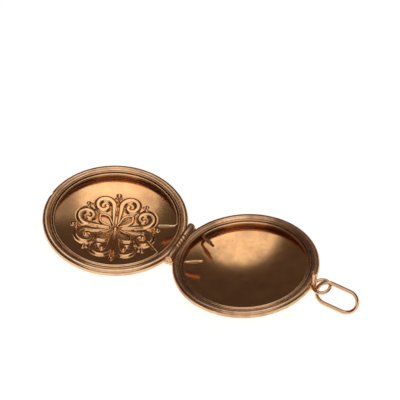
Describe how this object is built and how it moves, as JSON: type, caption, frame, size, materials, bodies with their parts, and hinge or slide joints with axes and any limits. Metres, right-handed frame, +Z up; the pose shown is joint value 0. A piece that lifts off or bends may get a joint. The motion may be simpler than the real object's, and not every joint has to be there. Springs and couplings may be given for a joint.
{
  "type": "photo locket",
  "caption": "Round hinged photo locket lying open, its domed halves holding spring photo rings, with a standing tube, an eye and an oval jump ring.",
  "frame": {"origin": "on the table under the middle of the open locket's whole length and width", "axes": "+X from the front cover towards the bail and jump ring, +Y along the hinge pin, +Z up, out of the open bowls"},
  "size_m": [0.0628, 0.027, 0.0069],
  "materials": {
    "gold": "rose gold sheet with a worn satin polish",
    "polished_gold": "polished rose gold with fine scratches",
    "dark_gold": "tarnished rose gold",
    "gold_wire": "drawn gold wire, worn bright"
  },
  "bodies": {
    "back": {"back_shell": "gold", "back_rim": "polished_gold", "back_seat": "gold", "back_hinge_plate": "dark_gold", "back_knuckle_far": "polished_gold", "back_knuckle_near": "polished_gold", "hinge_pin": "dark_gold", "bail_post": "dark_gold", "bail_eye": "dark_gold"},
    "cover": {"front_shell": "gold", "front_rim": "polished_gold", "front_seat": "gold", "front_hinge_plate": "dark_gold", "front_knuckle": "polished_gold"},
    "cover_ring": {"front_photo_ring": "gold_wire", "front_ring_grips": "gold_wire"},
    "back_ring": {"back_photo_ring": "gold_wire", "back_ring_grips": "gold_wire"},
    "jump_ring": {"jump_ring": "gold_wire"}
  },
  "joints": [
    {"name": "cover_hinge", "type": "hinge", "parent": "back", "child": "cover", "pos_m": [-0.00452, 0, 0.003], "axis": [0, 1, 0], "range_deg": [0, 174]},
    {"name": "cover_ring_turn", "type": "hinge", "parent": "cover", "child": "cover_ring", "pos_m": [-0.01789, 0, 0.0037], "axis": [0.0523, -0.0239, 0.9983], "range_deg": [-15, 15]},
    {"name": "back_ring_turn", "type": "hinge", "parent": "back", "child": "back_ring", "pos_m": [0.00885, 0, 0.0037], "axis": [-0.0523, 0.0239, 0.9983], "range_deg": [-15, 15]},
    {"name": "jump_ring_swing", "type": "hinge", "parent": "back", "child": "jump_ring", "pos_m": [0.02559, 0.00014, 0.00441], "axis": [0.411, -0.9099, 0.056], "range_deg": [0, 90]}
  ]
}
